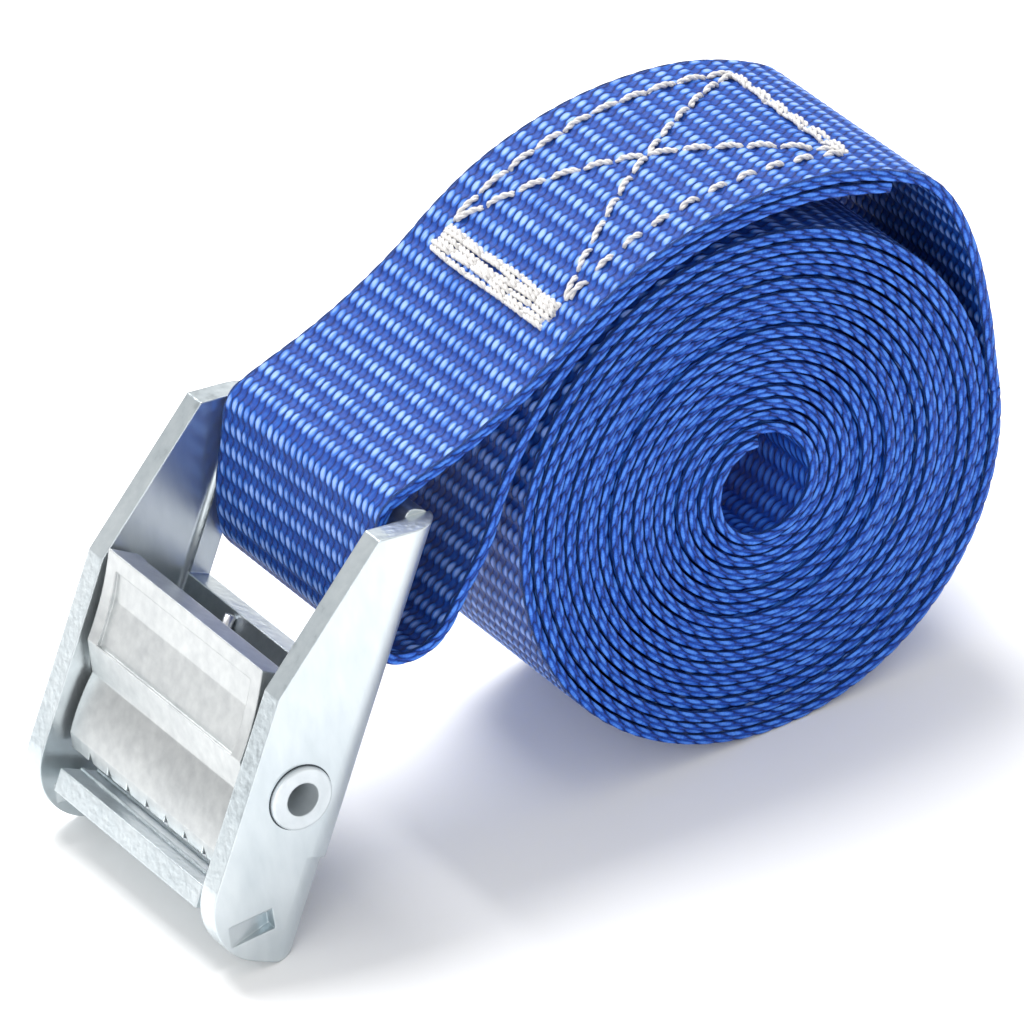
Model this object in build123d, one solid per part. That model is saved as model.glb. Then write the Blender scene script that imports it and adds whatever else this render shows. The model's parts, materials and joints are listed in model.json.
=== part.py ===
from build123d import *
from math import asin, atan2, copysign, cos, degrees, hypot, pi, radians, remainder, sin
import os

# A one inch cam buckle lashing strap: a coil of webbing with the buckle sewn into its end.
# Millimetres, +Z up. The coil stands on its rim and the buckle leans on the floor beside it.
# X runs from the buckle to the coil, Y runs along the rivet, and the floor is Z = 0.
# The buckle is drawn about its rivet, in its own axes: X forward along the frame to the strap
# slot, Z up to the lever, with the rivet along Y. It is then turned and set on the floor.

# Webbing
WEBBING_WIDTH = 25.4
WEBBING_THICKNESS = 1.15
COIL_RADIUS = 24.9
COIL_HOLE_RADIUS = 4.3
COIL_FLAT_HALF = 4.0          # half the length of the patch that the coil stands on
LAP_GAP = 0.05                # air between the two sewn layers
LAP_TAIL = 2.4                # webbing left past the far row of stitches
LOOP_GAP = 0.35               # air between the loop and the end bar inside it
THREAD_HEIGHT = 0.3
THREAD_WIDTH = 0.9
STITCH_BOX_WIDTH = 18.6
NEAR_BAR_WIDTH = 3.2          # three rows of thread side by side
NEAR_BAR_START = 2.0          # from the end of the lap to the first row of stitches
FAR_BAR_WIDTH = 1.8           # two rows

# Buckle frame, a folded steel channel
SHEET = 2.3
FRAME_SIDE_GAP = 0.9          # from the webbing's edge to each side plate
FLOOR_DROP = 6.0              # from the rivet's axis down to the outer face of the floor
PLATE_RISE = 5.3              # from the rivet's axis up to the plates' straight top
FRAME_FRONT = 15.3
FRAME_BACK = 25.9
BACK_TOP = (-23.7, 0.2)
HUMP = (-8.6, PLATE_RISE)
BEND_INSIDE = 0.6
FRONT_TOP_ROUND = 5.9
FRONT_BOTTOM_ROUND = 2.9
FRONT_RAISE = 0.45            # the front web lies this much above the floor
WINDOW_SIDE_GAP = 0.6         # from the webbing's edge to each end of a window
WINDOW_FRONT = -8.2
FLOOR_FRONT = 5.5
BAR_LENGTH = 3.2              # the end bar, measured along the frame
BAR_EDGE_ROUND = 0.8
WALL_BACK = 10.3
WALL_THICKNESS = 2.1
WALL_DROP = 1.2               # from the plates' top down to the wall's top
WALL_END_GAP = 1.6
RIB_HEIGHTS = (0.15, 1.9)
RIB_DEPTH = 0.2
RIB_WIDTH = 0.35
LANCE_ROOT = (13.4, 2.6)
LANCE_TIP = (11.25, -1.25)
LANCE_WIDTH = 2.0
LANCE_DEPTH = 1.2

# Rivet, a tube with a turned flange at each end
RIVET_RADIUS = 2.0
RIVET_BORE_RADIUS = 1.55
RIVET_FLANGE_RADIUS = 2.95
RIVET_FLANGE_THICKNESS = 0.5
RIVET_HOLE_CLEARANCE = 0.02
LEVER_BORE_CLEARANCE = 0.05

# Lever, a die casting with a row of teeth, with its outline as (X, Z) from the rivet's axis
LEVER_SIDE_GAP = 0.8          # from the lever's flank to each side plate
HUB_SIDE_GAP = 0.1
HUB_RADIUS = 3.35
HUB_ARC = (-60, -120, 180)    # degrees, from its front by way of its bottom to its back
THUMB_BACK = -10.0
THUMB_TOP = 5.6
THUMB_HOLLOW = (-5.9, 4.95)
THUMB_FRONT = (-1.5, 4.9)
THUMB_EDGE = (-9.7, 2.4)      # the lower corner of the thumb plate's back edge
THUMB_UNDER = (-6.6, 0.9)
THUMB_RIM = 1.5
THUMB_DISH = ((-8.5, 5.0), (-5.9, 4.5), (-1.5, 4.45))
UNDERSIDE = ((-11.0, 2.45), (-3.6, 3.3), (-3.6, -2.3), (-11.0, -2.3))
CREASE = (1.5, 3.35)
BULGE_TOP = (4.6, 3.75)
BULGE_FRONT = (7.2, 3.7)
TOOTH_TIP_RADIUS = 9.1
TOOTH_TIP_ANGLE = 19.2
TOOTH_BACK = ((8.3, 1.3), (6.6, -1.2))
TOOTH_COUNT = 8
NOTCH_DEPTH = 0.7
NOTCH_SLOPE = 0.6             # half the notch's width over its length
HEEL_FRONT = 4.4
HEEL_BACK = 3.2
STOP_GAP = 0.08               # from the lever's heel to the floor when it is closed

# Torsion spring
SPRING_WIRE = 1.0
SPRING_RADIUS = 2.56          # to the middle of the wire
SPRING_HALF_LENGTH = 5.1
SPRING_TURNS = 8
SPRING_LEG = 8.0
SPRING_LEG_DROP = 5.0         # degrees, of the leg under the lever
SPRING_GAP = 0.15
POCKET_BACK = -3.7            # the back of the lever's pocket for the spring

# How the buckle leans
BUCKLE_LEAN = 63.4            # degrees between the frame and the floor
BAR_REACH = 9.5               # from the coil's rim out to the end bar's axis

# Worked out from the sizes above
half_webbing = WEBBING_WIDTH / 2
half_inside = half_webbing + FRAME_SIDE_GAP
half_outside = half_inside + SHEET
half_window = half_webbing + WINDOW_SIDE_GAP
floor_top = -FLOOR_DROP + SHEET
web_bottom = -FLOOR_DROP + FRONT_RAISE
web_top = web_bottom + SHEET
wall_front = WALL_BACK + WALL_THICKNESS
wall_top = PLATE_RISE - WALL_DROP
half_wall = half_inside - WALL_END_GAP
half_lever = half_inside - LEVER_SIDE_GAP
bar_middle = (-FRAME_BACK + BAR_LENGTH / 2, -FLOOR_DROP + SHEET / 2)
bar_reach_round = hypot(BAR_LENGTH / 2 - BAR_EDGE_ROUND, SHEET / 2 - BAR_EDGE_ROUND) + BAR_EDGE_ROUND
loop_radius = bar_reach_round + LOOP_GAP + WEBBING_THICKNESS / 2
spring_pocket = SPRING_RADIUS + SPRING_WIRE / 2 + SPRING_GAP

lean = radians(BUCKLE_LEAN)
forward = Vector(-cos(lean), 0, -sin(lean))
upward = Vector(-sin(lean), 0, cos(lean))
front_corner = (FRAME_FRONT - FRONT_BOTTOM_ROUND, web_bottom + FRONT_BOTTOM_ROUND)
pivot_height = FRONT_BOTTOM_ROUND - front_corner[0] * forward.Z - front_corner[1] * upward.Z
coil_height = (COIL_RADIUS ** 2 - COIL_FLAT_HALF ** 2) ** 0.5
bar_from_pivot = forward * bar_middle[0] + upward * bar_middle[1]
coil_from_pivot = bar_from_pivot.X + BAR_REACH + COIL_RADIUS
left_from_pivot = (
    forward.X * (FRAME_FRONT - FRONT_TOP_ROUND) + upward.X * (PLATE_RISE - FRONT_TOP_ROUND) - FRONT_TOP_ROUND
)
pivot_x = -(left_from_pivot + coil_from_pivot + COIL_RADIUS) / 2
coil_middle = (pivot_x + coil_from_pivot, coil_height)
bar_x = pivot_x + bar_from_pivot.X
bar_z = pivot_height + bar_from_pivot.Z
on_floor = Plane(origin=(pivot_x, 0, pivot_height), x_dir=forward, z_dir=upward).location

# The strap's middle line: corners beside the coil as (beyond its rim, degrees), then corners
# beside the end bar as (X, Z) from its axis, each with the radius that rounds it
COIL_CORNERS = ((0.9, 19.2), (5.2, 48.1), (4.0, 69.6), (3.15, 106.0), (2.3, 134.4))
COIL_ROUNDS = (40, 9.5, 14, 27, 18)
LOOP_DOWN = 257               # degrees, of the run from the end bar down through the window
LOOP_RUN = 9.0
NOSE_CORNERS = ((-3.3, -13.3), (2.4, -11.7), (7.7, -4.4), (12.0, 3.7))
NOSE_ROUNDS = (7, 2.5, 8, 30, 20)
LAP_ROUND = 5
FAR_BAR_RUN = 3.4             # from the lap's last corner to the far rows of stitches


def polar(middle, radius, angle):
    """The point (X, Z) at a radius and an angle in degrees about a middle."""
    return (middle[0] + radius * cos(radians(angle)), middle[1] + radius * sin(radians(angle)))


def along(start, end, distance):
    """The point at a distance from start towards end."""
    length = hypot(end[0] - start[0], end[1] - start[1])
    return (
        start[0] + (end[0] - start[0]) * distance / length,
        start[1] + (end[1] - start[1]) * distance / length,
    )


def headings_of(corners):
    """The direction of each run, turning on from the one before it."""
    headings = []
    for start, end in zip(corners, corners[1:]):
        heading = atan2(end[1] - start[1], end[0] - start[0])
        if headings:
            heading = headings[-1] + remainder(heading - headings[-1], 2 * pi)
        headings.append(heading)
    return headings


def beside(corners, distance):
    """The corners of the line that runs to the right of these corners at a distance."""
    headings = headings_of(corners)
    headings = [headings[0]] + headings + [headings[-1]]
    moved = []
    for corner, before, after in zip(corners, headings, headings[1:]):
        middle = (before + after) / 2
        reach = distance / cos((after - before) / 2)
        moved.append((corner[0] + reach * sin(middle), corner[1] - reach * cos(middle)))
    return moved


def beside_rounds(corners, rounds, distance):
    """The radii that keep that line at the same distance round each corner."""
    headings = headings_of(corners)
    turns = [after - before for before, after in zip(headings, headings[1:])]
    return [radius + distance * copysign(1, turn) for radius, turn in zip(rounds, turns)]


def ribbon(corners, rounds, thickness, width):
    """A strip of this thickness along a line of rounded corners in XZ, as wide as width in Y."""
    half = thickness / 2
    edges = []
    for side in (half, -half):
        line = FilletPolyline(*beside(corners, side), radius=beside_rounds(corners, rounds, side))
        edges.append(line)
    first, second = edges
    ends = [Line(first @ 0, second @ 0), Line(first @ 1, second @ 1)]
    section = make_face(Curve() + [first, second] + ends)
    return extrude(Plane.XZ * section, amount=width / 2, both=True)


def strap_corners():
    """The coil's corners, then the loop's, then those of the layer folded back under the lap."""
    beside_coil = [polar(coil_middle, COIL_RADIUS + beyond, angle) for beyond, angle in COIL_CORNERS]
    last = beside_coil[-1]
    bar = (bar_x, bar_z)
    distance = hypot(bar[0] - last[0], bar[1] - last[1])
    arriving = degrees(atan2(bar[1] - last[1], bar[0] - last[0]) - asin(loop_radius / distance)) % 360
    half_turn = (LOOP_DOWN - arriving) / 2
    over_bar = polar(bar, loop_radius / cos(radians(half_turn)), arriving - 90 + half_turn)
    nose_start = polar(polar(bar, loop_radius, LOOP_DOWN - 90), LOOP_RUN, LOOP_DOWN)
    nose = [(bar_x + x, bar_z + z) for x, z in NOSE_CORNERS]
    lap_back = beside(beside_coil[:0:-1], WEBBING_THICKNESS + LAP_GAP)
    tail = along(lap_back[2], lap_back[3], FAR_BAR_RUN + FAR_BAR_WIDTH / 2 + LAP_TAIL)
    return beside_coil, [over_bar, nose_start] + nose, lap_back[:3] + [tail]


beside_coil, beside_bar, lap_back = strap_corners()
lap_top = beside_coil[:0:-1]
lap_rounds = COIL_ROUNDS[3:1:-1]


def block(low, high):
    """A box between two opposite corners."""
    size = [b - a for a, b in zip(low, high)]
    middle = [(a + b) / 2 for a, b in zip(low, high)]
    return Pos(*middle) * Box(*size)


def rod(radius, half_length, middle=(0, 0)):
    """A cylinder along Y about a point (X, Z)."""
    return Pos(middle[0], 0, middle[1]) * Rot(90, 0, 0) * Cylinder(radius, 2 * half_length)


def slab(points, half_width):
    """A prism across the strap with this outline in XZ."""
    return extrude(Plane.XZ * make_face(Polyline(*points, close=True)), amount=half_width, both=True)


def webbing_coil():
    """The wound webbing as one disc: two half circles, with a step where the last turn leaves."""
    x, z = coil_middle
    left = (x - COIL_RADIUS, z)
    right = (x + COIL_RADIUS, z)
    step = (right[0] - WEBBING_THICKNESS, z)
    top = (x - WEBBING_THICKNESS / 2, z + COIL_RADIUS - WEBBING_THICKNESS / 2)
    bottom = (x, z - COIL_RADIUS)
    outline = Curve() + [ThreePointArc(step, top, left), ThreePointArc(left, bottom, right), Line(right, step)]
    disc = extrude(Plane.XZ * make_face(outline), amount=half_webbing, both=True)
    hole = rod(COIL_HOLE_RADIUS, WEBBING_WIDTH, coil_middle)
    below_floor = block((-2 * COIL_RADIUS, -WEBBING_WIDTH, -COIL_RADIUS), (2 * COIL_RADIUS + x, WEBBING_WIDTH, 0))
    return disc - hole - below_floor


def webbing_end():
    """The last turn off the coil, round the end bar and back under itself to the sewn lap."""
    start = (coil_middle[0] + COIL_RADIUS - WEBBING_THICKNESS / 2, coil_middle[1])
    corners = [start] + beside_coil + beside_bar + lap_back
    lap_depth = WEBBING_THICKNESS + LAP_GAP
    back_rounds = [LAP_ROUND] + [radius - lap_depth for radius in lap_rounds]
    rounds = list(COIL_ROUNDS) + [loop_radius] + list(NOSE_ROUNDS) + back_rounds
    return ribbon(corners, rounds, WEBBING_THICKNESS, WEBBING_WIDTH)


def stitching(depth):
    """The box and cross of thread lying on one face of the lap, at a depth below its top line."""
    rounds = [radius - depth for radius in lap_rounds]
    skin = ribbon(beside(lap_top, depth), rounds, THREAD_HEIGHT, WEBBING_WIDTH)
    near = along(lap_top[0], lap_top[1], NEAR_BAR_START + NEAR_BAR_WIDTH / 2)[0]
    far = along(lap_top[2], lap_top[3], FAR_BAR_RUN)[0]
    middle = (near + far) / 2
    side = (STITCH_BOX_WIDTH - THREAD_WIDTH) / 2
    cross_length = hypot(far - near, 2 * side)
    cross_angle = degrees(atan2(2 * side, far - near))
    pattern = Pos(near, 0) * Rectangle(NEAR_BAR_WIDTH, STITCH_BOX_WIDTH)
    pattern += Pos(far, 0) * Rectangle(FAR_BAR_WIDTH, STITCH_BOX_WIDTH)
    pattern += [Pos(middle, y) * Rectangle(far - near, THREAD_WIDTH) for y in (-side, side)]
    pattern += [
        Pos(middle, 0) * Rot(0, 0, turn) * Rectangle(cross_length, THREAD_WIDTH)
        for turn in (-cross_angle, cross_angle)
    ]
    return skin & extrude(pattern, amount=4 * COIL_RADIUS)


def needle_thread():
    return stitching(-(WEBBING_THICKNESS + THREAD_HEIGHT) / 2)


def bobbin_thread():
    return stitching(1.5 * WEBBING_THICKNESS + LAP_GAP + THREAD_HEIGHT / 2)


def channel(bottom, back, front):
    """A stretch of folded channel, open at the top, with its floor's outer face at bottom."""
    top = PLATE_RISE + SHEET
    outside = Rectangle(2 * half_outside, top - bottom)
    bend = [corner for corner in outside.vertices() if corner.Y < 0]
    outside = fillet(bend, BEND_INSIDE + SHEET)
    inside = Pos(0, SHEET / 2) * Rectangle(2 * half_inside, top - bottom - SHEET)
    inner_bend = [corner for corner in inside.vertices() if corner.Y < 0]
    inside = fillet(inner_bend, BEND_INSIDE)
    section = Pos(0, (top + bottom) / 2) * (outside - inside)
    return extrude(Plane.YZ.offset(back) * section, amount=front - back)


def plate_outline():
    """One side plate seen along the rivet, with its two rounded front corners."""
    round_top = (FRAME_FRONT - FRONT_TOP_ROUND, PLATE_RISE)
    top_middle = (round_top[0], PLATE_RISE - FRONT_TOP_ROUND)
    diagonal = 0.5 ** 0.5
    across_top = (top_middle[0] + FRONT_TOP_ROUND * diagonal, top_middle[1] + FRONT_TOP_ROUND * diagonal)
    across_bottom = (
        front_corner[0] + FRONT_BOTTOM_ROUND * diagonal,
        front_corner[1] - FRONT_BOTTOM_ROUND * diagonal,
    )
    front_top = (FRAME_FRONT, top_middle[1])
    front_low = (FRAME_FRONT, front_corner[1])
    bottom_front = (front_corner[0], web_bottom)
    bottom_back = (bottom_front[0], -FLOOR_DROP)
    rim = Polyline(bottom_back, (-FRAME_BACK, -FLOOR_DROP), BACK_TOP, HUMP, round_top)
    nose = [
        ThreePointArc(round_top, across_top, front_top),
        Line(front_top, front_low),
        ThreePointArc(front_low, across_bottom, bottom_front),
        Line(bottom_front, bottom_back),
    ]
    return make_face(Curve() + [rim] + nose)


def lance_wedge(face):
    """The wedge between a flat face at this distance from the middle and the lanced tab."""
    run = hypot(LANCE_TIP[0] - LANCE_ROOT[0], LANCE_TIP[1] - LANCE_ROOT[1])
    turn = degrees(atan2(LANCE_TIP[1] - LANCE_ROOT[1], LANCE_TIP[0] - LANCE_ROOT[0]))
    wedge = make_face(Polyline((0, 0), (run, 0), (run, -LANCE_DEPTH), close=True))
    solid = extrude(wedge, amount=LANCE_WIDTH / 2, both=True)
    return Pos(LANCE_ROOT[0], face, LANCE_ROOT[1]) * Rot(0, -turn, 0) * solid


def buckle_frame():
    """The folded channel: two side plates, the floor, the end bar, the front web and its wall."""
    outline = extrude(Plane.XZ * plate_outline(), amount=half_outside, both=True)
    body = channel(-FLOOR_DROP, -FRAME_BACK, FLOOR_FRONT) + channel(web_bottom, FLOOR_FRONT, FRAME_FRONT)
    body &= outline
    below = -FLOOR_DROP - SHEET
    body -= block((-FRAME_BACK, -half_window, below), (WINDOW_FRONT, half_window, floor_top))
    body -= block((FLOOR_FRONT, -half_window, below), (FRAME_FRONT, half_window, web_top))
    bar = fillet(Rectangle(BAR_LENGTH, SHEET).vertices(), BAR_EDGE_ROUND)
    body += Pos(bar_middle[0], 0, bar_middle[1]) * extrude(Plane.XZ * bar, amount=half_window, both=True)
    web = slab(
        [(WALL_BACK, web_bottom), (FRAME_FRONT, web_bottom), (FRAME_FRONT, web_top), (WALL_BACK, web_top)],
        half_window,
    )
    wall = block((WALL_BACK, -half_wall, web_bottom), (wall_front, half_wall, wall_top))
    heel = web.edges().filter_by(Axis.Y).sort_by(Axis.X)[:2].sort_by(Axis.Z)[0]
    web = fillet(heel, SHEET - BAR_EDGE_ROUND)
    wall_heel = wall.edges().filter_by(Axis.Y).sort_by(Axis.X)[:2].sort_by(Axis.Z)[0]
    wall = fillet(wall_heel, SHEET - BAR_EDGE_ROUND)
    body += (web + wall) & outline
    for height in RIB_HEIGHTS:
        body += block(
            (WALL_BACK - RIB_DEPTH, -half_wall, height - RIB_WIDTH / 2),
            (WALL_BACK, half_wall, height + RIB_WIDTH / 2),
        )
    body -= rod(RIVET_RADIUS + RIVET_HOLE_CLEARANCE, half_outside)
    recess = lance_wedge(half_outside)
    tab = lance_wedge(half_inside)
    body = body - recess - mirror(recess, Plane.XZ)
    return body + tab + mirror(tab, Plane.XZ)


def pivot_rivet():
    """A tube rivet through both side plates, open from end to end."""
    end = half_outside + RIVET_FLANGE_THICKNESS
    flange = rod(RIVET_FLANGE_RADIUS, end) - rod(RIVET_FLANGE_RADIUS, half_outside)
    rim = flange.edges().filter_by(GeomType.CIRCLE).group_by(SortBy.RADIUS)[-1]
    outer_rims = [edge for edge in rim if abs(edge.center().Y) > half_outside + RIVET_FLANGE_THICKNESS / 2]
    flange = fillet(outer_rims, RIVET_FLANGE_THICKNESS / 2)
    return rod(RIVET_RADIUS, end) + flange - rod(RIVET_BORE_RADIUS, end)


def lever_outline():
    """The lever seen along the rivet: thumb plate, crease, bulge, toothed tip, heel and hub."""
    tip = polar((0, 0), TOOTH_TIP_RADIUS, TOOTH_TIP_ANGLE)
    heel_low = floor_top + STOP_GAP
    hub_front, hub_bottom, hub_back = [polar((0, 0), HUB_RADIUS, angle) for angle in HUB_ARC]
    back_top = (THUMB_BACK, THUMB_TOP)
    edges = [
        ThreePointArc(back_top, THUMB_HOLLOW, THUMB_FRONT),
        Line(THUMB_FRONT, CREASE),
        ThreePointArc(CREASE, BULGE_TOP, BULGE_FRONT),
        Line(BULGE_FRONT, tip),
        Polyline(tip, *TOOTH_BACK, (HEEL_FRONT, heel_low), (HEEL_BACK, heel_low), hub_front),
        ThreePointArc(hub_front, hub_bottom, hub_back),
        Polyline(hub_back, THUMB_UNDER, THUMB_EDGE, back_top),
    ]
    return make_face(Curve() + edges)


def cam_lever():
    """The die-cast lever: a rimmed thumb plate behind the rivet and a row of teeth before it."""
    body = extrude(Plane.XZ * lever_outline(), amount=half_lever, both=True)
    half_plate = half_lever - THUMB_RIM
    body -= slab(UNDERSIDE, half_plate)
    above = PLATE_RISE + SHEET
    body -= slab([*THUMB_DISH, (THUMB_DISH[-1][0], above), (THUMB_DISH[0][0], above)], half_plate)
    pitch = 2 * half_lever / TOOTH_COUNT
    bottom = polar((0, 0), TOOTH_TIP_RADIUS - NOTCH_DEPTH, TOOTH_TIP_ANGLE)
    flare = pitch * NOTCH_SLOPE
    notch = make_face(Polyline((0, 0), (pitch, flare), (pitch, -flare), close=True))
    groove = extrude(notch, amount=pitch, both=True)
    for number in range(1, TOOTH_COUNT):
        y = -half_lever + number * pitch
        body -= Pos(bottom[0], y, bottom[1]) * Rot(0, -TOOTH_TIP_ANGLE, 0) * groove
    body += rod(HUB_RADIUS, half_inside - HUB_SIDE_GAP)
    body -= rod(RIVET_RADIUS + LEVER_BORE_CLEARANCE, half_inside)
    half_pocket = SPRING_HALF_LENGTH + SPRING_WIRE
    body -= rod(spring_pocket, half_pocket)
    body -= block((POCKET_BACK, -half_pocket, floor_top), (0, half_pocket, spring_pocket))
    return body - block((0, -half_pocket, floor_top), (FLOOR_FRONT, half_pocket, 0))


def cam_spring():
    """A torsion spring round the rivet: one leg along the floor, the other under the thumb plate."""
    floor_leg_drop = degrees(asin((-floor_top - SPRING_WIRE / 2 - SPRING_RADIUS) / SPRING_LEG))
    turned = 360 * SPRING_TURNS + 180 + SPRING_LEG_DROP - floor_leg_drop
    pitch = 2 * SPRING_HALF_LENGTH * 360 / turned
    coil = Helix(pitch, 2 * SPRING_HALF_LENGTH, SPRING_RADIUS, lefthand=True)
    coil = Pos(0, -SPRING_HALF_LENGTH, 0) * Rot(-90, 0, 0) * coil
    coil = Rot(0, 90 - floor_leg_drop, 0) * coil
    start = coil @ 0
    finish = coil @ 1
    floor_leg = Line(start - (coil % 0) * SPRING_LEG, start)
    lever_leg = Line(finish, finish + (coil % 1) * SPRING_LEG)
    path = Wire([floor_leg.edge(), coil.edge(), lever_leg.edge()])
    section = Plane(origin=floor_leg @ 0, z_dir=floor_leg % 0) * Circle(SPRING_WIRE / 2)
    return sweep(section, path=path, is_frenet=True)


PIECES = {
    "webbing_coil": webbing_coil,
    "webbing_end": webbing_end,
    "needle_thread": needle_thread,
    "bobbin_thread": bobbin_thread,
}
BUCKLE_PIECES = {
    "buckle_frame": buckle_frame,
    "pivot_rivet": pivot_rivet,
    "cam_lever": cam_lever,
    "cam_spring": cam_spring,
}

os.makedirs("parts", exist_ok=True)
for name, make in PIECES.items():
    export_step(make(), f"parts/{name}.step")
for name, make in BUCKLE_PIECES.items():
    export_step(on_floor * make(), f"parts/{name}.step")
pivot = (pivot_x, pivot_height)
print("rivet axis (X, Z)", pivot)
print("end bar axis (X, Z)", (bar_x, bar_z))
print("coil middle (X, Z)", coil_middle)
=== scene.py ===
import json
import random
from math import atan2, cos, hypot, pi, radians, sin, sqrt

import bpy
import numpy as np
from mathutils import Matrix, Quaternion, Vector


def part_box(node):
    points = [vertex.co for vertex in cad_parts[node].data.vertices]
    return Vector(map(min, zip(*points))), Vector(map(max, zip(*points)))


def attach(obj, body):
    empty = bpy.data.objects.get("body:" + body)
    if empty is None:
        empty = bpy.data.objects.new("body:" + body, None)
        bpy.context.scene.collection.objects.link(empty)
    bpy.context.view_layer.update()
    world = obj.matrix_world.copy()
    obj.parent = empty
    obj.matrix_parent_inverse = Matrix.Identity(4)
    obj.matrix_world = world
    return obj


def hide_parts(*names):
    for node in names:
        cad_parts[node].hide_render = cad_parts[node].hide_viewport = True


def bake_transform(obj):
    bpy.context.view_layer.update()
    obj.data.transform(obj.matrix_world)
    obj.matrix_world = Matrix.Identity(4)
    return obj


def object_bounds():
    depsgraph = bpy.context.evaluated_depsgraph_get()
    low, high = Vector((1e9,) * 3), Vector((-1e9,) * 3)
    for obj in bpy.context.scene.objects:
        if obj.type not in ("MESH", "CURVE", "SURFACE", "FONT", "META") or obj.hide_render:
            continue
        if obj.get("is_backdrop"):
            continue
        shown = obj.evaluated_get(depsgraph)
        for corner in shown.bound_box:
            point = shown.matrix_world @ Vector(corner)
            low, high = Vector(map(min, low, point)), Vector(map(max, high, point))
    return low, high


# A coiled one inch lashing strap with a cam buckle. Lengths are in millimetres until a mesh is
# made. X and Z are the plane of the coil, and Y runs across the webbing.
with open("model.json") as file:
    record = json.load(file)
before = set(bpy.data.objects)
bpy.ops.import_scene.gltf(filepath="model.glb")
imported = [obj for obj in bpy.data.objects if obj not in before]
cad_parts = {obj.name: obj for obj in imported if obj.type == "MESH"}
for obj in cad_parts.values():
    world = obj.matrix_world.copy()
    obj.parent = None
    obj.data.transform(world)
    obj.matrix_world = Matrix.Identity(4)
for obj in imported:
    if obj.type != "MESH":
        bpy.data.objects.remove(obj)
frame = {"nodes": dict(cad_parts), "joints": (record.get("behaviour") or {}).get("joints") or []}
cad_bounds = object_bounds()
MM = 0.001
rng = random.Random(7)


def millimetres(point):
    return [value / MM for value in point]


coil_low, coil_high = (millimetres(corner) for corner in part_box("webbing_coil"))
joints = {joint["name"]: joint for joint in frame["joints"]}
END_BAR = tuple(millimetres(joints["buckle_swing"]["pos_m"]))[::2]
RIVET = tuple(millimetres(joints["lever_hinge"]["pos_m"]))[::2]
WIDTH = coil_high[1] - coil_low[1]
COIL_RADIUS = (coil_high[0] - coil_low[0]) / 2
STAND_HALF = 4.0              # half the length of the flat that the coil stands on
COIL_MIDDLE = ((coil_high[0] + coil_low[0]) / 2, sqrt(COIL_RADIUS ** 2 - STAND_HALF ** 2))

# The webbing and its coil
THICKNESS = 1.1
TURN_PITCH = 1.12             # from one turn of the coil to the next
TURNS = 17.75
SLACK = 0.04                  # how far the turns stray from an even spiral
SLACK_WAVES = 3               # in each turn
SLACK_START = 1.1             # radians
SLACK_SETTLES = 3             # the radians over which the slack sets in
DRIFT_WAVES = ((0.16, 2.3, 0), (0.14, 7.1, 1))   # along Y: height, radians in a rim's length, start
LAP_GAP = 0.1

# Its weave
ROW_PITCH = 2.01              # from one rib to the next, along the webbing
FLOATS = 26                   # warp floats across one rib
FLOAT_PITCH = WIDTH / FLOATS
LEAN = 0.55                   # how far a float leans over along a rib, in floats
RIB_HEIGHT = 0.26
RIDGE_SHARE = 0.45            # the share of a float's height that stays between two floats
MEAN_HEIGHT = 0.6             # a float's, on average
EDGE_FADE = 0.6               # how far in from the edge of a face the floats gain their full relief
EDGE_RELIEF = 0.35            # the share of it that they have at that edge
SELVEDGE = 0.3                # how far in from the edge its rounding starts
SELVEDGE_RELIEF = 0.34
SELVEDGE_DEPTH = 0.97         # its share of the webbing's thickness
SELVEDGE_ROWS = 0.98          # its share of two rows of floats

# The webbing's mesh
ROWS_PER_RIB = 6
SPACING = ROW_PITCH / ROWS_PER_RIB
FACE_COLUMNS = 4 * FLOATS
COARSE_COLUMNS = FACE_COLUMNS // 2
HIDDEN_COLUMNS = 2
COIL_SELVEDGE_STEPS = 5
FREE_SELVEDGE_STEPS = 6
SIDE_UV = 1000                # rows are numbered from here on a selvedge, to tell it from a face

# Sewing thread
STRAND_RADIUS = 0.17
STRAND_OFFSET = 0.13
STRAND_SIDES = 6
TWIST_PITCH = 1.5
STITCH = 2.9
STITCH_STEPS = 12
STITCH_RISE = 2.4             # how high a stitch arches over its ends, in strand radii
STITCH_SINK = 1.5             # how deep its ends lie in the webbing, in strand radii
BAR_ROWS = 6
BAR_ROW_PITCH = 0.39
BAR_OVERRUN = 0.5             # how far a row can be shifted along the bar
BAR_WANDER = 0.16
END_ROWS = 2
END_ROW_PITCH = 0.55
END_WANDER = 0.2
BOX_SIDE = 9.0                # from the middle of the webbing to the box's long seams
BOX_WANDER = 0.12

# The painted contact shadow round the rivet's flange: a dark line on the frame
FLANGE_SHADOW_RADIUS = 2.98
FLANGE_SHADOW_WIDTH = 0.1

# Torsion spring, in the buckle's own axes
SPRING_WIRE = 1.0
SPRING_RADIUS = 2.56
SPRING_HALF_LENGTH = 5.1
SPRING_TURNS = 8
SPRING_LEG = 8.0
SPRING_SIDES = 10
STEPS_PER_TURN = 32
STEPS_PER_LEG = 4
FLOOR_LEG_DROP = 4.59         # degrees
LEVER_LEG_DROP = 5.0
BUCKLE_LEAN = 63.4
FORWARD = Vector((-cos(radians(BUCKLE_LEAN)), 0, -sin(radians(BUCKLE_LEAN))))
UPWARD = Vector((-sin(radians(BUCKLE_LEAN)), 0, cos(radians(BUCKLE_LEAN))))

# Camera
CAMERA_SENSOR = 36
CAMERA_LENS = 461.25
CAMERA_DISTANCE = 1131.0
CAMERA_TARGET = Vector((-0.455, 0, 23.07))
CAMERA_DIRECTION = Vector((0.40865, 0.74972, -0.52052))
CAMERA_ROLL = -6.41           # degrees

# Lights and floor, in metres and watts
SKY_STRENGTH = 0.75
LIGHTS_AIM = (0, 0, 0.025)
FLOOR_HALF = 1.6
FLOOR_WHITE = (0.93, 0.93, 0.93, 1)
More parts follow.
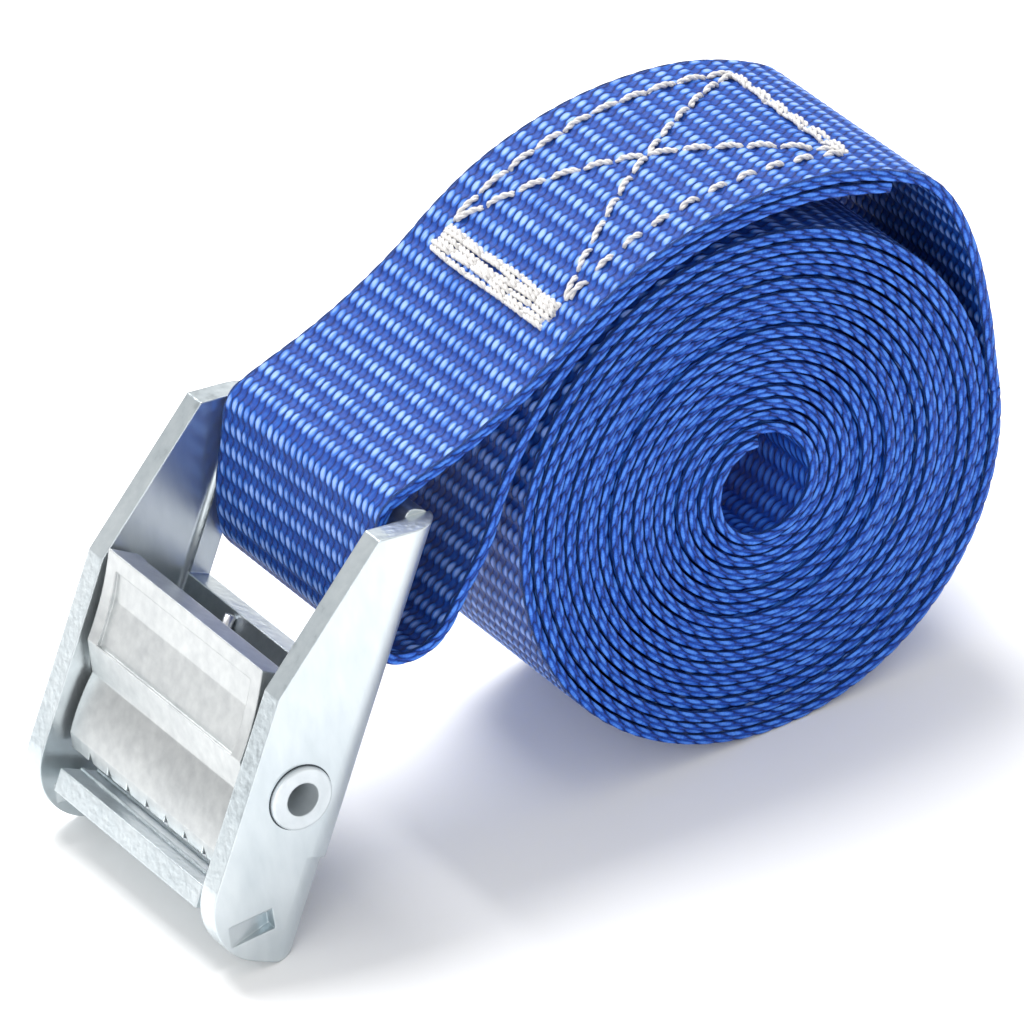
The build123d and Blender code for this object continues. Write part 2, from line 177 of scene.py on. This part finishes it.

# Colours, from the deepest gap to the crest of a float or a fibre: painted shade in the gaps between
# floats and a painted highlight on their crests, paler on the faces as the lit copy than on the selvedges
# as the shaded copy
FACE_SHADE_TO_HIGHLIGHT = (
    (0.0, (0.0015, 0.012, 0.10)),
    (0.3, (0.003, 0.042, 0.28)),
    (0.65, (0.017, 0.125, 0.52)),
    (1.0, (0.27, 0.42, 0.86)),
)
SELVEDGE_SHADE_TO_HIGHLIGHT = (
    (0.0, (0.002, 0.020, 0.155)),
    (0.3, (0.004, 0.046, 0.33)),
    (0.65, (0.010, 0.095, 0.53)),
    (1.0, (0.07, 0.24, 0.80)),
)
# Grey to off-white: the grey is painted shade between the thread's fibres
THREAD_SHADE_TO_WHITE = ((0.2, (0.42, 0.41, 0.42)), (0.75, (0.80, 0.78, 0.75)))
# The dark end of the metal ramps, which the painted contact shadow round the rivet's flange reaches
METAL_SHADE = (0.06, 0.07, 0.08)

# The floats as the shader draws them. The shape of a row is its shift in rows, how far its floats
# are squeezed along a selvedge, how much more along a face, and how proud they stand
PROUD_ROW = (0.0, 2.1, 0.7, 1.0)
SUNK_ROW = (0.5, 3.4, -0.6, 0.42)
SQUEEZE_ACROSS = 2.1
FILAMENTS = (2.2, 9.0, 1.0)   # noise stretched along a float's filaments
FIBRES = (3.0, 9.0, 1.0)


def polar(middle, radius, degrees_round):
    angle = radians(degrees_round)
    return (middle[0] + radius * cos(angle), middle[1] + radius * sin(angle))


def camera():
    """Looks down at the near face of the coil from the buckle's side, tilted a little."""
    data = bpy.data.cameras.new("camera")
    data.sensor_width = CAMERA_SENSOR
    data.lens = CAMERA_LENS
    data.clip_start = 0.05
    data.clip_end = 20
    eye = bpy.data.objects.new("camera", data)
    bpy.context.collection.objects.link(eye)
    direction = CAMERA_DIRECTION.normalized()
    roll = Quaternion((0, 0, 1), radians(CAMERA_ROLL))
    eye.location = CAMERA_TARGET * MM - direction * CAMERA_DISTANCE * MM
    eye.rotation_mode = "QUATERNION"
    eye.rotation_quaternion = direction.to_track_quat("-Z", "Y") @ roll
    bpy.context.scene.camera = eye


def area_light(name, place, size, watts):
    data = bpy.data.lights.new(name, "AREA")
    data.shape = "RECTANGLE"
    data.size = size
    data.size_y = size
    data.energy = watts
    lamp = bpy.data.objects.new(name, data)
    bpy.context.collection.objects.link(lamp)
    lamp.location = place
    aim = Vector(LIGHTS_AIM) - lamp.location
    lamp.rotation_mode = "QUATERNION"
    lamp.rotation_quaternion = aim.to_track_quat("-Z", "Y")


def studio():
    """White light from all round, a soft key from behind and a weaker light in front."""
    world = bpy.data.worlds.new("studio")
    world.use_nodes = True
    sky = world.node_tree.nodes["Background"]
    sky.inputs["Color"].default_value = (1, 1, 1, 1)
    sky.inputs["Strength"].default_value = SKY_STRENGTH
    bpy.context.scene.world = world
    bpy.context.scene.view_settings.view_transform = "Standard"
    area_light("key", place=(0.05, 0.35, 0.75), size=0.5, watts=9)
    area_light("front", place=(-0.55, -0.6, 0.35), size=0.6, watts=2.5)


def floor():
    """A pale, dull floor."""
    corners = [(x * FLOOR_HALF, y * FLOOR_HALF, 0) for x, y in ((-1, -1), (1, -1), (1, 1), (-1, 1))]
    data = bpy.data.meshes.new("floor")
    data.from_pydata(corners, [], [(0, 1, 2, 3)])
    ground = bpy.data.objects.new("floor", data)
    bpy.context.collection.objects.link(ground)
    material = bpy.data.materials.new("floor")
    material.use_nodes = True
    shader = material.node_tree.nodes["Principled BSDF"]
    shader.inputs["Base Color"].default_value = FLOOR_WHITE
    shader.inputs["Roughness"].default_value = 0.9
    shader.inputs["Specular IOR Level"].default_value = 0.1
    data.materials.append(material)
    ground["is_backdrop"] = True


# The strap's middle line: corners beside the coil as (beyond its rim, degrees), then corners beside
# the end bar as (X, Z) from its axis. A quadratic B-spline with these control points is the line.
BESIDE_COIL = (
    (-0.57, 6.0), (0.45, 17.0), (3.2, 34.0), (5.3, 47.0), (4.6, 57.0), (3.8, 69.0),
    (2.7, 84.0), (2.1, 98.0), (1.95, 112.0), (1.95, 124.0), (2.35, 135.0),
)
OVER_BAR = (
    (7.6, 5.35), (-0.3, 2.95), (-2.55, 1.95), (-3.4, -1.9), (-4.7, -7.0), (-4.5, -11.6),
    (-1.9, -13.0), (1.7, -12.4), (4.6, -8.4), (7.4, -4.9), (9.0, -1.0), (11.6, 3.2),
)
LAP_CORNERS = 7               # how many of the coil's corners the layer below the lap follows


def beside(corners, distance):
    """The corners of the line that runs to the right of these corners at a distance."""
    headings = []
    for start, end in zip(corners, corners[1:]):
        heading = atan2(end[1] - start[1], end[0] - start[0])
        if headings:
            heading = headings[-1] + (heading - headings[-1] + pi) % (2 * pi) - pi
        headings.append(heading)
    headings = [headings[0]] + headings + [headings[-1]]
    moved = []
    for corner, before, after in zip(corners, headings, headings[1:]):
        middle = (before + after) / 2
        reach = distance / cos((after - before) / 2)
        moved.append((corner[0] + reach * sin(middle), corner[1] - reach * cos(middle)))
    return moved


def spline(corners, steps=24):
    """Points along the quadratic B-spline of these control points, which touches the first and last."""
    corners = [np.array(corner, float) for corner in corners]
    middles = [(a + b) / 2 for a, b in zip(corners[1:-2], corners[2:-1])]
    starts = [corners[0]] + middles
    ends = middles + [corners[-1]]
    points = [corners[0]]
    for start, corner, end in zip(starts, corners[1:-1], ends):
        for step in range(1, steps + 1):
            u = step / steps
            points.append((1 - u) ** 2 * start + 2 * u * (1 - u) * corner + u * u * end)
    return np.array(points)


def even(points, spacing):
    """The same line with points this far apart, and its length."""
    lengths = np.hypot(*np.diff(points, axis=0).T)
    travelled = np.concatenate([[0], np.cumsum(lengths)])
    count = int(round(travelled[-1] / spacing))
    wanted = np.linspace(0, travelled[-1], count + 1)
    return np.stack([np.interp(wanted, travelled, points[:, k]) for k in (0, 1)], axis=1), travelled[-1]


def normals_of(points):
    """Unit normals to the left of the line."""
    tangents = np.gradient(points, axis=0)
    tangents /= np.hypot(*tangents.T)[:, None]
    return np.stack([-tangents[:, 1], tangents[:, 0]], axis=1)


def float_height(row, place):
    """How far a float stands proud, 0 to 1, at a place counted in rows and in floats along a row."""
    along = row % 1 - 0.5
    beside_float = (place + 0.5 * (np.floor(row) % 2) + LEAN * along) % 1 - 0.5
    crest = np.cos(pi * along)
    lens = np.sqrt(np.clip(1 - (2 * beside_float) ** 2, 0, 1))
    return crest * (RIDGE_SHARE + (1 - RIDGE_SHARE) * lens)


def face_of(ribs, side, columns):
    """One face of the webbing as Y, depth and UVs, with the floats' relief where it has columns for it."""
    flat_half = WIDTH / 2 - SELVEDGE
    y = np.linspace(-side * flat_half, side * flat_half, columns + 1)[None, :] * np.ones((len(ribs), 1))
    rows = ribs[:, None] + (0 if side > 0 else 0.5) + 0 * y
    places = (y + WIDTH / 2) / FLOAT_PITCH
    if columns > HIDDEN_COLUMNS:
        fade = np.clip((flat_half - np.abs(y)) / EDGE_FADE, 0, 1)
        proud = 1 - (1 - float_height(rows, places)) * (EDGE_RELIEF + (1 - EDGE_RELIEF) * fade)
    else:
        proud = MEAN_HEIGHT + 0 * y
    depth = side * (THICKNESS / 2 - RIB_HEIGHT * (1 - proud))
    return y, depth, rows, places


def selvedge_of(ribs, side, steps):
    """One selvedge, two rows of floats that are staggered like bricks."""
    turn = np.linspace(0, pi, steps + 1)[1:-1]
    level = side * np.cos(turn)[None, :] * np.ones((len(ribs), 1))
    rows = SIDE_UV + 1 + level * SELVEDGE_ROWS
    places = ribs[:, None] + 0 * level
    lens = float_height(np.floor(rows) + 0.5, places)
    reach = WIDTH / 2 - SELVEDGE + SELVEDGE * np.cbrt(np.sin(turn))[None, :]
    out = reach + SELVEDGE_RELIEF * (lens - MEAN_HEIGHT) * np.sin(turn)[None, :]
    return side * out, THICKNESS / 2 * SELVEDGE_DEPTH * level, rows, places


def webbing_tube(points, first_rib, columns, steps, drift):
    """One closed length of webbing on this line. columns are the steps across its left and right
    faces, and drift moves each ring along Y. It gives vertices, faces and UVs."""
    normals = normals_of(points)
    ribs = first_rib + np.arange(len(points)) / ROWS_PER_RIB
    strips = []
    for side, count in zip((1, -1), columns):
        strips.append(face_of(ribs, side, count))
        strips.append(selvedge_of(ribs, side, steps))
    y, depth, rows, places = [np.concatenate(values, axis=1) for values in zip(*strips)]
    x = points[:, 0, None] + normals[:, 0, None] * depth
    z = points[:, 1, None] + normals[:, 1, None] * depth
    rings, around = y.shape
    vertices = np.stack([x, y + drift[:, None], z], axis=2).reshape(-1, 3)
    start = np.arange(rings - 1)[:, None] * around
    here = np.arange(around)[None, :]
    there = (here + 1) % around
    corners = [start + here, start + there, start + around + there, start + around + here]
    faces = np.stack(corners, axis=2).reshape(-1, 4).tolist()
    faces.append(list(range(around))[::-1])
    faces.append([(rings - 1) * around + k for k in range(around)])
    return vertices, faces, np.stack([rows.reshape(-1), places.reshape(-1)], axis=1)


def mesh_piece(name, parts, material):
    """One object from several (vertices, faces, UVs) in millimetres."""
    vertices = np.concatenate([part[0] for part in parts]) * MM
    uvs = np.concatenate([part[2] for part in parts])
    faces = []
    offset = 0
    for part in parts:
        faces += [[index + offset for index in face] for face in part[1]]
        offset += len(part[0])
    data = bpy.data.meshes.new(name)
    data.from_pydata(vertices.tolist(), [], faces)
    layer = data.uv_layers.new(name="weave")
    corners = np.empty(len(data.loops), int)
    data.loops.foreach_get("vertex_index", corners)
    layer.data.foreach_set("uv", uvs[corners].reshape(-1))
    data.polygons.foreach_set("use_smooth", [True] * len(data.polygons))
    data.materials.append(material)
    piece = bpy.data.objects.new(name, data)
    bpy.context.collection.objects.link(piece)
    return piece


def coil_line():
    """The coil's middle line from its outside inwards, clockwise from the right."""
    points = []
    turned = 0.0
    while turned < 2 * pi * TURNS:
        settled = min(1, turned / SLACK_SETTLES)
        slack = SLACK * sin(SLACK_WAVES * turned + SLACK_START) * settled
        radius = COIL_RADIUS - THICKNESS / 2 - TURN_PITCH * turned / (2 * pi) + slack
        x = COIL_MIDDLE[0] + radius * cos(turned)
        z = COIL_MIDDLE[1] - radius * sin(turned)
        points.append((x, max(z, THICKNESS / 2)))
        turned += SPACING / radius
    return np.array(points)


def wound_webbing(material):
    """The coil, with fine faces only where its outermost and innermost turns show them."""
    line = coil_line()
    outer = int(2 * pi * COIL_RADIUS / SPACING)
    inner = len(line) - int(2 * pi * (COIL_RADIUS - TURNS * TURN_PITCH) / SPACING)
    travel = np.arange(len(line)) / outer
    waves = sum(height * np.sin(travel * pace + start) for height, pace, start in DRIFT_WAVES)
    drift = waves * np.clip(travel, 0, 1)
    spans = (
        (0, outer, (COARSE_COLUMNS, HIDDEN_COLUMNS)),
        (outer, inner, (HIDDEN_COLUMNS, HIDDEN_COLUMNS)),
        (inner, len(line) - 1, (HIDDEN_COLUMNS, COARSE_COLUMNS)),
    )
    parts = []
    for first, last, columns in spans:
        kept = slice(first, last + 1)
        ribs_before = first / ROWS_PER_RIB
        parts.append(webbing_tube(line[kept], ribs_before, columns, COIL_SELVEDGE_STEPS, drift[kept]))
    return mesh_piece("wound_webbing", parts, material), len(line) * SPACING


def free_route():
    """The line of the free webbing from the coil, round the end bar and back under itself."""
    beside_coil = [polar(COIL_MIDDLE, COIL_RADIUS + beyond, angle) for beyond, angle in BESIDE_COIL]
    start = [polar(COIL_MIDDLE, COIL_RADIUS - THICKNESS / 2, 0)]
    loop = [(END_BAR[0] + x, END_BAR[1] + z) for x, z in OVER_BAR]
    back = beside(beside_coil[:-LAP_CORNERS - 1:-1], THICKNESS + LAP_GAP)
    return even(spline(start + beside_coil + loop + back), SPACING)


def free_webbing(route, material):
    """The sewn loop and its lap, finest on the outer face."""
    straight = np.zeros(len(route))
    part = webbing_tube(route, 0, (COARSE_COLUMNS, FACE_COLUMNS), FREE_SELVEDGE_STEPS, straight)
    return mesh_piece("free_webbing", [part], material)


def lap_surface(route):
    """A function from (X, Y, height) to the point that high over the sewn lap's outer face."""
    turn_back = int(np.argmin(route[:, 0]))
    line = route[:turn_back]
    outward = -normals_of(line)
    over_coil = line[:, 1] > COIL_MIDDLE[1] + COIL_RADIUS / 2
    line = line[over_coil][::-1]
    outward = outward[over_coil][::-1]

    def surface(x, y, height):
        place = [np.interp(x, line[:, 0], values) for values in (line[:, 0], line[:, 1])]
        normal = [np.interp(x, line[:, 0], values) for values in (outward[:, 0], outward[:, 1])]
        reach = THICKNESS / 2 + height
        return Vector((place[0] + normal[0] * reach, y, place[1] + normal[1] * reach))

    return surface


def underside(surface):
    """A function like this surface, for places under the lap's lower layer."""

    def under(x, y, height):
        return surface(x, y, -2 * THICKNESS - LAP_GAP - height)

    return under


def tube(points, radius, sides):
    """A round closed tube through points, as vertices, faces and UVs along and round it."""
    vertices = []
    uvs = []
    side = None
    travelled = 0.0
    for index, point in enumerate(points):
        tangent = (points[min(index + 1, len(points) - 1)] - points[max(index - 1, 0)]).normalized()
        side = tangent.orthogonal() if side is None else side - tangent * side.dot(tangent)
        side.normalize()
        other = tangent.cross(side)
        travelled += (point - points[index - 1]).length if index else 0
        for k in range(sides):
            turn = 2 * pi * k / sides
            vertices.append(point + (side * cos(turn) + other * sin(turn)) * radius)
            uvs.append((travelled, k / sides))
    faces = [list(range(sides))[::-1], [len(vertices) - sides + k for k in range(sides)]]
    for index in range(len(points) - 1):
        for k in range(sides):
            here = index * sides + k
            there = index * sides + (k + 1) % sides
            faces.append([here, there, there + sides, here + sides])
    return np.array(vertices), faces, np.array(uvs)


def stitch(surface, start, end, cover):
    """Two twisted strands that rise out of the webbing, lie along it and sink back in."""
    run = Vector((end[0] - start[0], end[1] - start[1], 0))
    across = Vector((-run.y, run.x, 0)).normalized()
    phase = rng.uniform(0, 2 * pi)
    strands = []
    for half_turn in (0, pi):
        points = []
        for step in range(STITCH_STEPS + 1):
            share = 0.5 + (step / STITCH_STEPS - 0.5) * cover
            turn = phase + half_turn + 2 * pi * run.length * share / TWIST_PITCH
            arch = max(0, sin(pi * step / STITCH_STEPS)) ** 0.5
            lift = STRAND_RADIUS * (STITCH_RISE * arch - STITCH_SINK)
            sideways = across * STRAND_OFFSET * cos(turn)
            place = Vector((*start, 0)) + run * share + sideways
            points.append(surface(place.x, place.y, lift + STRAND_OFFSET * sin(turn)))
        strands.append(tube(points, STRAND_RADIUS, STRAND_SIDES))
    return strands


def seam(surface, start, end, cover, wander):
    """A row of stitches between two places on the lap. Each covers this share of its pitch, and its
    ends stray this far."""
    count = max(2, round(hypot(end[0] - start[0], end[1] - start[1]) / STITCH))
    places = []
    for number in range(count + 1):
        share = number / count
        wandering = [rng.uniform(-wander, wander) if 0 < number < count else 0 for _ in start]
        places.append([a + (b - a) * share + off for a, b, off in zip(start, end, wandering)])
    strands = []
    for first, last in zip(places, places[1:]):
        strands += stitch(surface, first, last, cover)
    return strands


def box_stitches(surface):
    """The box, its cross, and the bars of several rows at each end of the lap."""
    low, high = (millimetres(corner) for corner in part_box("needle_thread"))
    near = low[0] + STRAND_RADIUS * 2
    far = high[0] - STRAND_RADIUS * 2
    parts = []
    for row in range(BAR_ROWS):
        x = near + row * BAR_ROW_PITCH
        overrun = rng.uniform(0, BAR_OVERRUN)
        start = (x, BOX_SIDE + overrun)
        parts += seam(surface, start, (x, overrun - BOX_SIDE), cover=1.0, wander=BAR_WANDER)
    for row in range(END_ROWS):
        x = far - END_ROW_PITCH * row
        parts += seam(surface, (x, BOX_SIDE), (x, -BOX_SIDE), cover=0.95, wander=END_WANDER)
    inner = near + BAR_ROWS * BAR_ROW_PITCH
    for start_side, end_side, cover in ((1, 1, 0.92), (-1, -1, 0.6), (1, -1, 0.85), (-1, 1, 0.8)):
        start = (inner, start_side * BOX_SIDE)
        parts += seam(surface, start, (far, end_side * BOX_SIDE), cover, BOX_WANDER)
    return parts


def spring_wire(material):
    """The torsion spring: a leg along the buckle's floor, the coil, and a leg under the thumb plate."""
    start = radians(FLOOR_LEG_DROP) - pi / 2
    finish = start + 2 * pi * SPRING_TURNS + pi + radians(LEVER_LEG_DROP - FLOOR_LEG_DROP)
    steps = SPRING_TURNS * STEPS_PER_TURN
    coil = []
    for step in range(steps + 1):
        turn = start + (finish - start) * step / steps
        y = SPRING_HALF_LENGTH * (1 - 2 * step / steps)
        coil.append((SPRING_RADIUS * cos(turn), y, SPRING_RADIUS * sin(turn)))
    legs = []
    for place, turn, way in ((coil[0], start, -1), (coil[-1], finish, 1)):
        along = (-sin(turn) * way * SPRING_LEG, cos(turn) * way * SPRING_LEG)
        steps_out = [k / STEPS_PER_LEG for k in range(1, STEPS_PER_LEG + 1)]
        legs.append([(place[0] + along[0] * k, place[1], place[2] + along[1] * k) for k in steps_out])
    pivot = Vector((RIVET[0], 0, RIVET[1]))
    line = legs[0][::-1] + coil + legs[1]
    wire = [pivot + FORWARD * x + UPWARD * z + Vector((0, y, 0)) for x, y, z in line]
    return mesh_piece("spring_wire", [tube(wire, SPRING_WIRE / 2, SPRING_SIDES)], material)


class Material:
    """A material and short ways to add nodes to it. A value is a number or another node's socket."""

    def __init__(self, name):
        self.material = bpy.data.materials.new(name)
        self.material.use_nodes = True
        self.tree = self.material.node_tree
        self.shader = self.tree.nodes["Principled BSDF"]

    def node(self, kind, **settings):
        node = self.tree.nodes.new(kind)
        for name, value in settings.items():
            setattr(node, name, value)
        return node

    def feed(self, socket, value):
        if isinstance(value, bpy.types.NodeSocket):
            self.tree.links.new(value, socket)
        else:
            socket.default_value = value

    def math(self, operation, *values):
        node = self.node("ShaderNodeMath", operation=operation)
        for socket, value in zip(node.inputs, values):
            self.feed(socket, value)
        return node.outputs[0]

    def noise(self, scale, detail, stretch=(1, 1, 1), coordinates="Object"):
        mapping = self.node("ShaderNodeMapping")
        mapping.inputs["Scale"].default_value = stretch
        self.feed(mapping.inputs["Vector"], self.node("ShaderNodeTexCoord").outputs[coordinates])
        noise = self.node("ShaderNodeTexNoise")
        noise.inputs["Scale"].default_value = scale
        noise.inputs["Detail"].default_value = detail
        self.feed(noise.inputs["Vector"], mapping.outputs[0])
        return noise.outputs[0]

    def ramp(self, value, stops):
        ramp = self.node("ShaderNodeValToRGB")
        elements = ramp.color_ramp.elements
        while len(elements) < len(stops):
            elements.new(0.5)
        for element, (place, colour) in zip(elements, stops):
            element.position = place
            element.color = (*colour, 1)
        self.feed(ramp.inputs[0], value)
        return ramp.outputs[0]

    def spread(self, value, low, high):
        """The value, from 0 to 1, stretched over low to high."""
        node = self.node("ShaderNodeMapRange")
        self.feed(node.inputs["Value"], value)
        node.inputs["To Min"].default_value = low
        node.inputs["To Max"].default_value = high
        return node.outputs[0]

    def bump(self, height, distance, under=None):
        node = self.node("ShaderNodeBump")
        node.inputs["Distance"].default_value = distance * MM
        self.feed(node.inputs["Height"], height)
        if under is not None:
            self.feed(node.inputs["Normal"], under)
        return node.outputs[0]

    def finish(self, **inputs):
        for name, value in inputs.items():
            self.feed(self.shader.inputs[name.replace("_", " ")], value)
        return self.material


def weave_height(m, row, place):
    """The floats' height from the UVs: a proud row of floats, and a sunk row between two ribs."""
    heights = []
    on_face = m.math("LESS_THAN", row, SIDE_UV / 2)
    for shift, on_selvedge, more, lift in (PROUD_ROW, SUNK_ROW):
        length = m.math("MULTIPLY_ADD", on_face, more, on_selvedge)
        here = m.math("ADD", row, shift)
        along = m.math("SUBTRACT", m.math("FRACT", here), 0.5)
        odd = m.math("FLOORED_MODULO", m.math("FLOOR", here), 2.0)
        moved = m.math("MULTIPLY_ADD", odd, 0.5, m.math("MULTIPLY_ADD", along, LEAN, place))
        across = m.math("SUBTRACT", m.math("FRACT", moved), 0.5)
        squeezed = ((along, length), (across, SQUEEZE_ACROSS))
        squares = [m.math("POWER", m.math("MULTIPLY", a, b), 2.0) for a, b in squeezed]
        inside = m.math("MAXIMUM", m.math("SUBTRACT", 1.0, m.math("ADD", *squares)), 0.0)
        heights.append(m.math("MULTIPLY", m.math("SQRT", inside), lift))
    return m.math("MAXIMUM", *heights)


def webbing_material():
    """Blue polyester floats with painted shade in their gaps and a painted highlight along their crests,
    paler on the faces and deeper blue on the selvedges as lit and shaded copies.
    """
    m = Material("webbing")
    uv = m.node("ShaderNodeUVMap", uv_map="weave")
    split = m.node("ShaderNodeSeparateXYZ")
    m.feed(split.inputs[0], uv.outputs[0])
    row, place = split.outputs[0], split.outputs[1]
    height = weave_height(m, row, place)
    cell = m.node("ShaderNodeCombineXYZ")
    m.feed(cell.inputs[0], m.math("FLOOR", row))
    m.feed(cell.inputs[1], m.math("FLOOR", place))
    varied = m.node("ShaderNodeTexWhiteNoise")
    m.feed(varied.inputs["Vector"], cell.outputs[0])
    filaments = m.noise(scale=1.0, detail=3.0, stretch=FILAMENTS, coordinates="UV")
    # The floats' height and the fibre noise set how much painted shade or painted highlight the ramps give
    tone_and_painted_light = m.math("MULTIPLY", height, m.math("MULTIPLY_ADD", varied.outputs[0], 0.3, 0.8))
    tone_and_painted_light = m.math("MULTIPLY_ADD", m.math("SUBTRACT", filaments, 0.5), 0.7, tone_and_painted_light)
    face = m.ramp(tone_and_painted_light, FACE_SHADE_TO_HIGHLIGHT)
    edge = m.ramp(tone_and_painted_light, SELVEDGE_SHADE_TO_HIGHLIGHT)
    # Faces take the paler, lit ramp and selvedges the deeper, shaded one
    mix = m.node("ShaderNodeMix", data_type="RGBA")
    m.feed(mix.inputs["Factor"], m.math("GREATER_THAN", row, SIDE_UV / 2))
    m.feed(mix.inputs["A"], face)
    m.feed(mix.inputs["B"], edge)
    relief = m.math("MULTIPLY_ADD", filaments, 0.45, height)
    return m.finish(
        Base_Color=mix.outputs["Result"],
        Roughness=m.spread(filaments, 0.4, 0.6),
        Specular_IOR_Level=0.3,
        Normal=m.bump(relief, 0.2),
    )


def thread_material():
    """White twisted thread, greyer between its fibres: painted shade where the fibre bump is low."""
    m = Material("thread")
    fibres = m.noise(scale=1.0, detail=2.0, stretch=FIBRES, coordinates="UV")
    colour = m.ramp(fibres, THREAD_SHADE_TO_WHITE)
    return m.finish(Base_Color=colour, Roughness=0.65, Sheen_Weight=0.4, Normal=m.bump(fibres, 0.08))


def painted_flange_shadow(m):
    """1 on a thin ring about the rivet's axis, just outside its flange, where the frame gets a painted
    contact shadow.
    """
    split = m.node("ShaderNodeSeparateXYZ")
    m.feed(split.inputs[0], m.node("ShaderNodeTexCoord").outputs["Object"])
    away = [m.math("SUBTRACT", split.outputs[k], RIVET[k // 2] * MM) for k in (0, 2)]
    reach = m.math("SQRT", m.math("ADD", *[m.math("MULTIPLY", value, value) for value in away]))
    return m.math("COMPARE", reach, FLANGE_SHADOW_RADIUS * MM, FLANGE_SHADOW_WIDTH * MM)


def sheared(m):
    """The speckle of a sheared edge: noise on the faces that don't look along the rivet."""
    split = m.node("ShaderNodeSeparateXYZ")
    m.feed(split.inputs[0], m.node("ShaderNodeTexCoord").outputs["Normal"])
    edge = m.math("LESS_THAN", m.math("ABSOLUTE", split.outputs[1]), 0.5)
    return m.math("MULTIPLY", m.noise(scale=1500, detail=2.0), edge)


def metal_material(name, tones, roughness, grain, dents, metallic, streaks=(1, 1, 1), sheet=False):
    """Plated metal: a cloudy tone, streaks, pits and eased edges. Sheet has sheared edges as well, and a
    painted contact shadow as a dark ring round the rivet's flange.
    """
    m = Material(name)
    clouds = m.noise(scale=90, detail=4.0, stretch=streaks)
    fine = m.noise(scale=900, detail=3.0, stretch=streaks)
    mixed = m.math("MULTIPLY_ADD", fine, grain, m.math("MULTIPLY", clouds, 1 - grain))
    tone_and_painted_light = mixed
    relief = mixed
    if sheet:
        speckle = sheared(m)
        # The painted contact shadow round the rivet's flange is taken off the tone here
        tone_and_painted_light = m.math("SUBTRACT", m.math("MULTIPLY_ADD", speckle, -0.22, mixed), painted_flange_shadow(m))
        relief = m.math("MULTIPLY_ADD", speckle, 1.5, mixed)
    eased = m.node("ShaderNodeBevel", samples=6)
    eased.inputs["Radius"].default_value = 0.22 * MM
    return m.finish(
        Base_Color=m.ramp(tone_and_painted_light, ((0.0, METAL_SHADE), (0.3, tones[0]), (0.7, tones[1]))),
        Metallic=metallic,
        Roughness=m.spread(mixed, *roughness),
        Normal=m.bump(relief, dents, eased.outputs[0]),
    )


def dress(node, material):
    """Gives a CAD node this material in its slots."""
    for material_slot in frame["nodes"][node].material_slots:
        material_slot.material = material


camera()
studio()
floor()

blue = webbing_material()
white = thread_material()
wound, wound_length = wound_webbing(blue)
route, free_length = free_route()
free = free_webbing(route, blue)
outer_face = lap_surface(route)
needle = mesh_piece("needle_stitches", box_stitches(outer_face), white)
bobbin = mesh_piece("bobbin_stitches", box_stitches(underside(outer_face)), white)
spring = spring_wire(metal_material(
    "spring_wire",
    tones=((0.5, 0.5, 0.52), (0.72, 0.72, 0.74)),
    roughness=(0.25, 0.4), grain=0.5, dents=0.02, metallic=1.0,
))
for piece, node, slot in (
    (wound, "webbing_coil", "webbing"),
    (free, "webbing_end", "webbing"),
    (needle, "needle_thread", "thread"),
    (bobbin, "bobbin_thread", "thread"),
    (spring, "cam_spring", "spring_wire"),
):
    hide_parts(node)
for piece in (wound, free, needle, bobbin):
    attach(piece, "strap")
winding = [(RIVET[0] * MM, SPRING_HALF_LENGTH * way * MM, RIVET[1] * MM) for way in (1, -1)]
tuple(winding[0])
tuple(winding[1])
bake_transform(spring)

dress("buckle_frame", metal_material(
    "zinc_sheet",
    tones=((0.54, 0.60, 0.63), (0.74, 0.79, 0.81)),
    roughness=(0.24, 0.38), grain=0.3, dents=0.03, metallic=0.95, streaks=(1, 1, 0.35), sheet=True,
))
dress("cam_lever", metal_material(
    "cast_zinc",
    tones=((0.47, 0.49, 0.50), (0.64, 0.66, 0.66)),
    roughness=(0.3, 0.45), grain=0.6, dents=0.04, metallic=0.95,
))
dress("pivot_rivet", metal_material(
    "rivet_steel",
    tones=((0.55, 0.60, 0.63), (0.74, 0.79, 0.82)),
    roughness=(0.3, 0.42), grain=0.4, dents=0.02, metallic=0.5,
))

boxes = {"cad": cad_bounds, "visual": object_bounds()}
{name: [list(corner) for corner in box] for name, box in boxes.items()}
